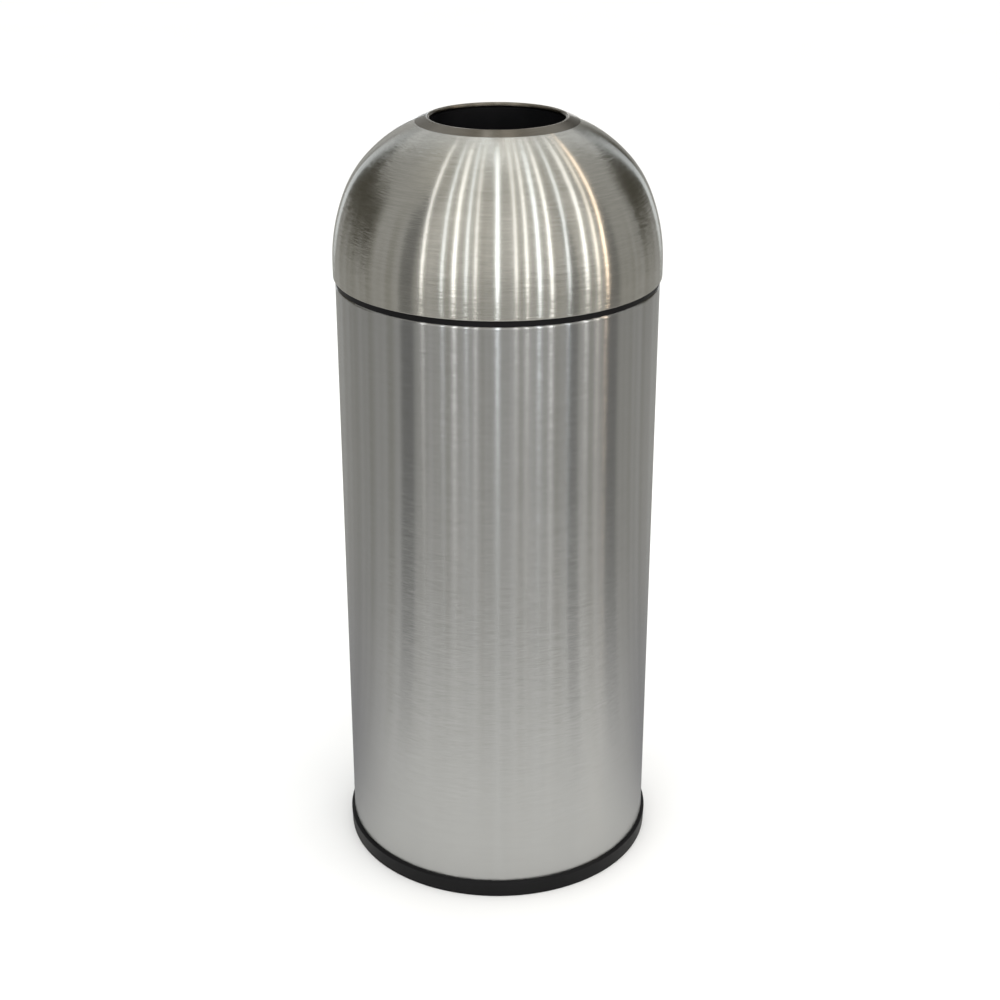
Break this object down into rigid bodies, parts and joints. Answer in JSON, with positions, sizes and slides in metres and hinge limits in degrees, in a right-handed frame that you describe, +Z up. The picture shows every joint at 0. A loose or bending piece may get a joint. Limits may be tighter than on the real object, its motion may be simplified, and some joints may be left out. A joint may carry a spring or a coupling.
{
  "type": "litter bin",
  "caption": "Round open-top litter bin: brushed steel drum on a black base ring, lift-off steel dome with a round mouth, and a lift-out liner with a bail.",
  "frame": {"origin": "on the floor at the middle of the base ring", "axes": "+Z up along the drum's axis, -Y towards the front of the picture, bail pivots on X"},
  "size_m": [0.3064, 0.3064, 0.7305],
  "materials": {
    "dome_steel": "satin, brushed round the axis",
    "body_steel": "satin, brushed round the axis",
    "ring_steel": "smooth, half polished",
    "floor_steel": "mill finish",
    "galvanised": "galvanised, dull with soft spangle",
    "zinc_hardware": "zinc plated",
    "black_plastic": "satin moulded",
    "grip_plastic": "fine grain"
  },
  "bodies": {
    "body": {"body_shell": "body_steel", "top_collar": "black_plastic", "base_ring": "black_plastic", "base_plate": "floor_steel", "base_screws": "zinc_hardware"},
    "liner": {"liner_wall": "galvanised", "liner_floor": "galvanised", "rim_wire": "zinc_hardware", "liner_ears": "zinc_hardware", "ear_rivets": "zinc_hardware"},
    "bail": {"bail_wire": "zinc_hardware", "bail_grip": "grip_plastic"},
    "lid": {"dome_shell": "dome_steel", "mouth_ring": "ring_steel", "mouth_studs": "zinc_hardware", "stud_nuts": "zinc_hardware", "throat_ring": "black_plastic", "lid_ring": "black_plastic"}
  },
  "joints": [
    {"name": "liner_lift", "type": "slide", "parent": "body", "child": "liner", "axis": [0, 0, 1], "range_m": [0, 0.6]},
    {"name": "bail_swing", "type": "hinge", "parent": "liner", "child": "bail", "pos_m": [0, 0, 0.5618], "axis": [1, 0, 0], "range_deg": [0, 180]},
    {"name": "lid_lift", "type": "slide", "parent": "liner", "child": "lid", "axis": [0, 0, 1], "range_m": [0, 0.25]}
  ]
}
